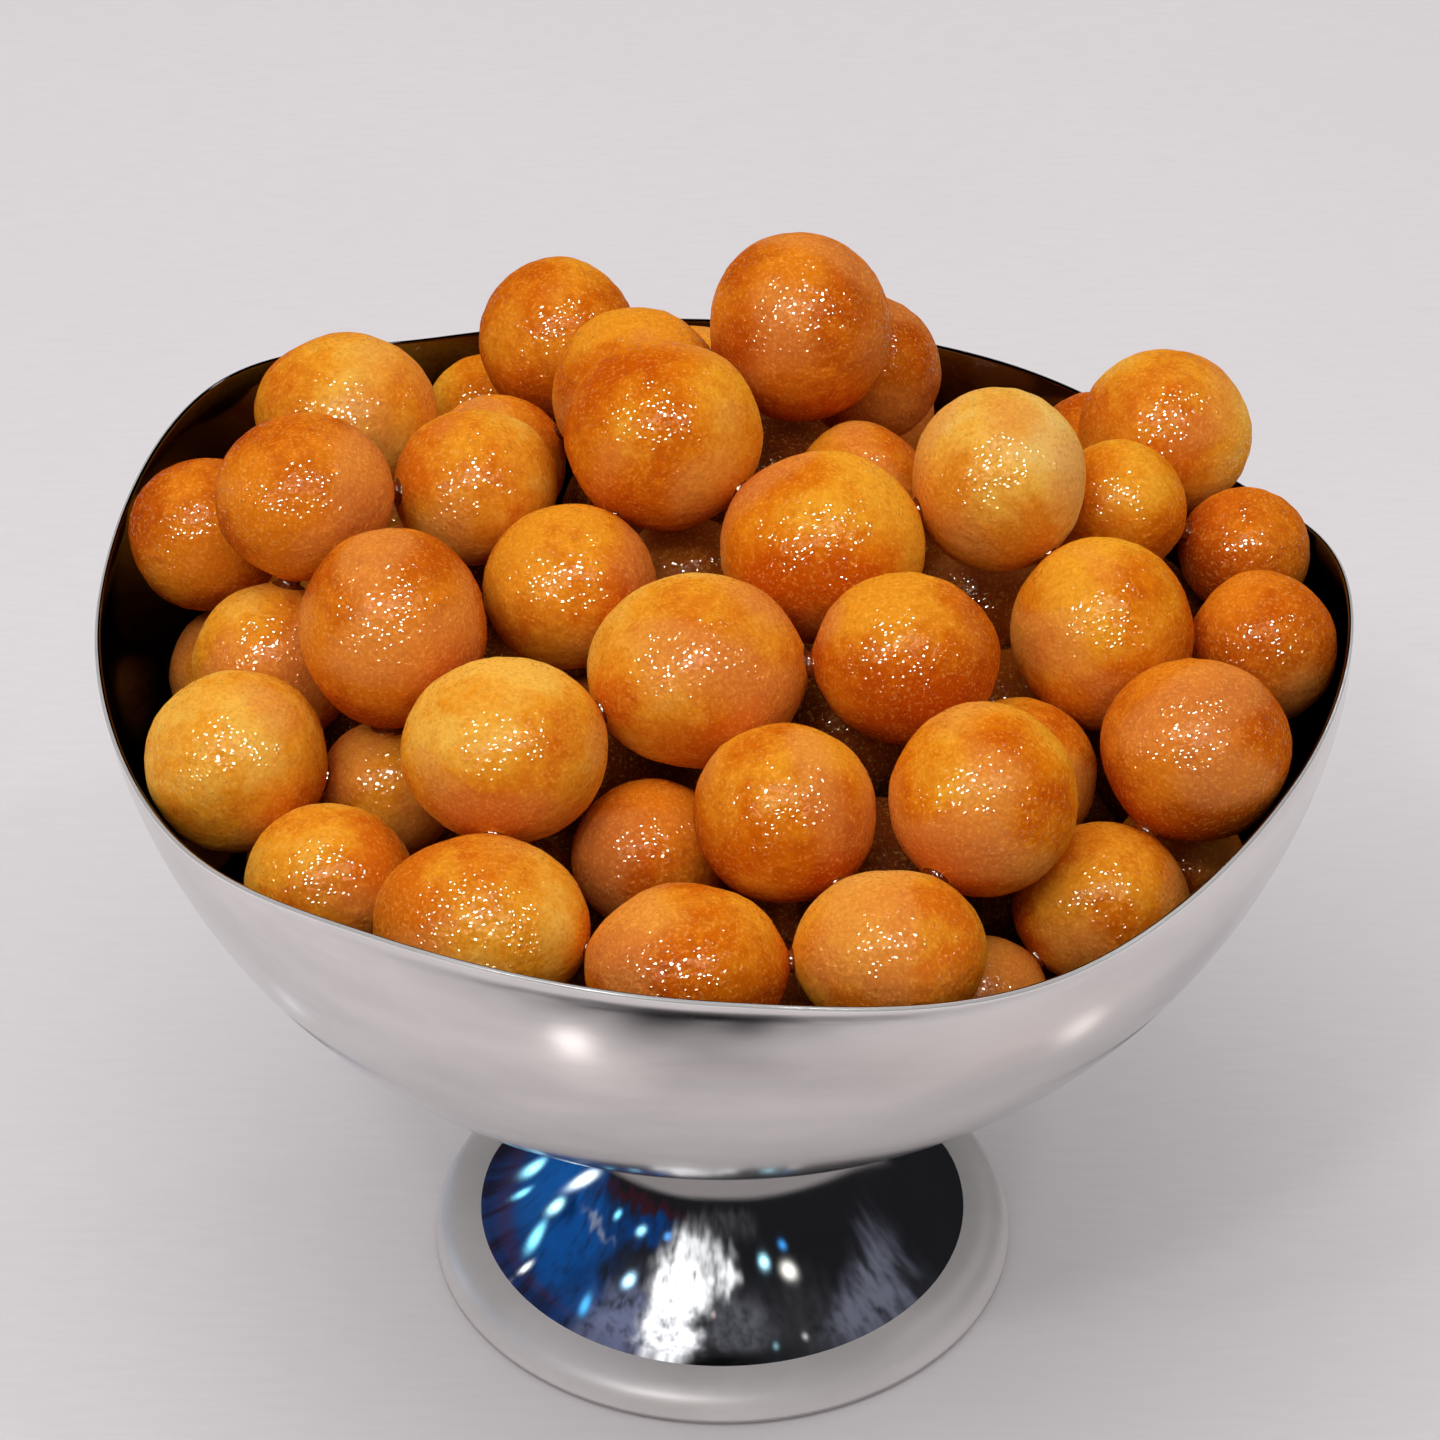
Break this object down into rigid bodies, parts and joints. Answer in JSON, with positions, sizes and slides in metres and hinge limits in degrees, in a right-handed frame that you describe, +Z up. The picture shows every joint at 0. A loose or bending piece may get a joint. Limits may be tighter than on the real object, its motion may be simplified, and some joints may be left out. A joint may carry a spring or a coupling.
{
  "type": "bowl of luqaimat",
  "caption": "Footed steel bowl with a wavy rim, heaped with round syrup-glazed fried dough balls.",
  "frame": {"origin": "centre of the foot's base ring, on the floor", "axes": "+Z up through the middle of the bowl; -Y is the front, which the picture shows"},
  "size_m": [0.25, 0.2493, 0.2203],
  "materials": {
    "satin_steel": "satin outside, polished inside",
    "mirror_steel": "mirror polished flare, satin base band",
    "dough_pale": "syrup-glazed pale golden fried dough",
    "dough_golden": "syrup-glazed golden fried dough",
    "dough_amber": "syrup-glazed amber fried dough",
    "dough_dark": "syrup-glazed deep amber fried dough"
  },
  "bodies": {
    "root": {"bowl": "satin_steel", "foot": "mirror_steel", "luqaimat_lower_layers": "dough_dark", "luqaimat_01": "dough_golden", "luqaimat_02": "dough_amber", "luqaimat_03": "dough_amber", "luqaimat_04": "dough_amber", "luqaimat_05": "dough_amber", "luqaimat_06": "dough_amber", "luqaimat_07": "dough_golden", "luqaimat_08": "dough_amber", "luqaimat_09": "dough_golden", "luqaimat_10": "dough_golden", "luqaimat_11": "dough_pale", "luqaimat_12": "dough_pale", "luqaimat_13": "dough_amber", "luqaimat_14": "dough_dark", "luqaimat_15": "dough_amber", "luqaimat_16": "dough_golden", "luqaimat_17": "dough_pale", "luqaimat_18": "dough_golden", "luqaimat_19": "dough_golden", "luqaimat_20": "dough_amber", "luqaimat_21": "dough_pale", "luqaimat_22": "dough_dark", "luqaimat_23": "dough_golden", "luqaimat_24": "dough_golden", "luqaimat_25": "dough_dark", "luqaimat_26": "dough_pale", "luqaimat_27": "dough_amber", "luqaimat_28": "dough_dark", "luqaimat_29": "dough_dark", "luqaimat_30": "dough_golden", "luqaimat_31": "dough_amber", "luqaimat_32": "dough_dark", "luqaimat_33": "dough_pale", "luqaimat_34": "dough_dark", "luqaimat_35": "dough_golden", "luqaimat_36": "dough_amber", "luqaimat_37": "dough_dark", "luqaimat_38": "dough_golden", "luqaimat_39": "dough_golden", "luqaimat_40": "dough_golden", "luqaimat_41": "dough_golden", "luqaimat_42": "dough_golden", "luqaimat_43": "dough_dark", "luqaimat_44": "dough_amber", "luqaimat_45": "dough_amber", "luqaimat_46": "dough_golden", "luqaimat_47": "dough_golden", "luqaimat_48": "dough_amber", "luqaimat_49": "dough_amber", "luqaimat_50": "dough_golden"}
  },
  "joints": []
}
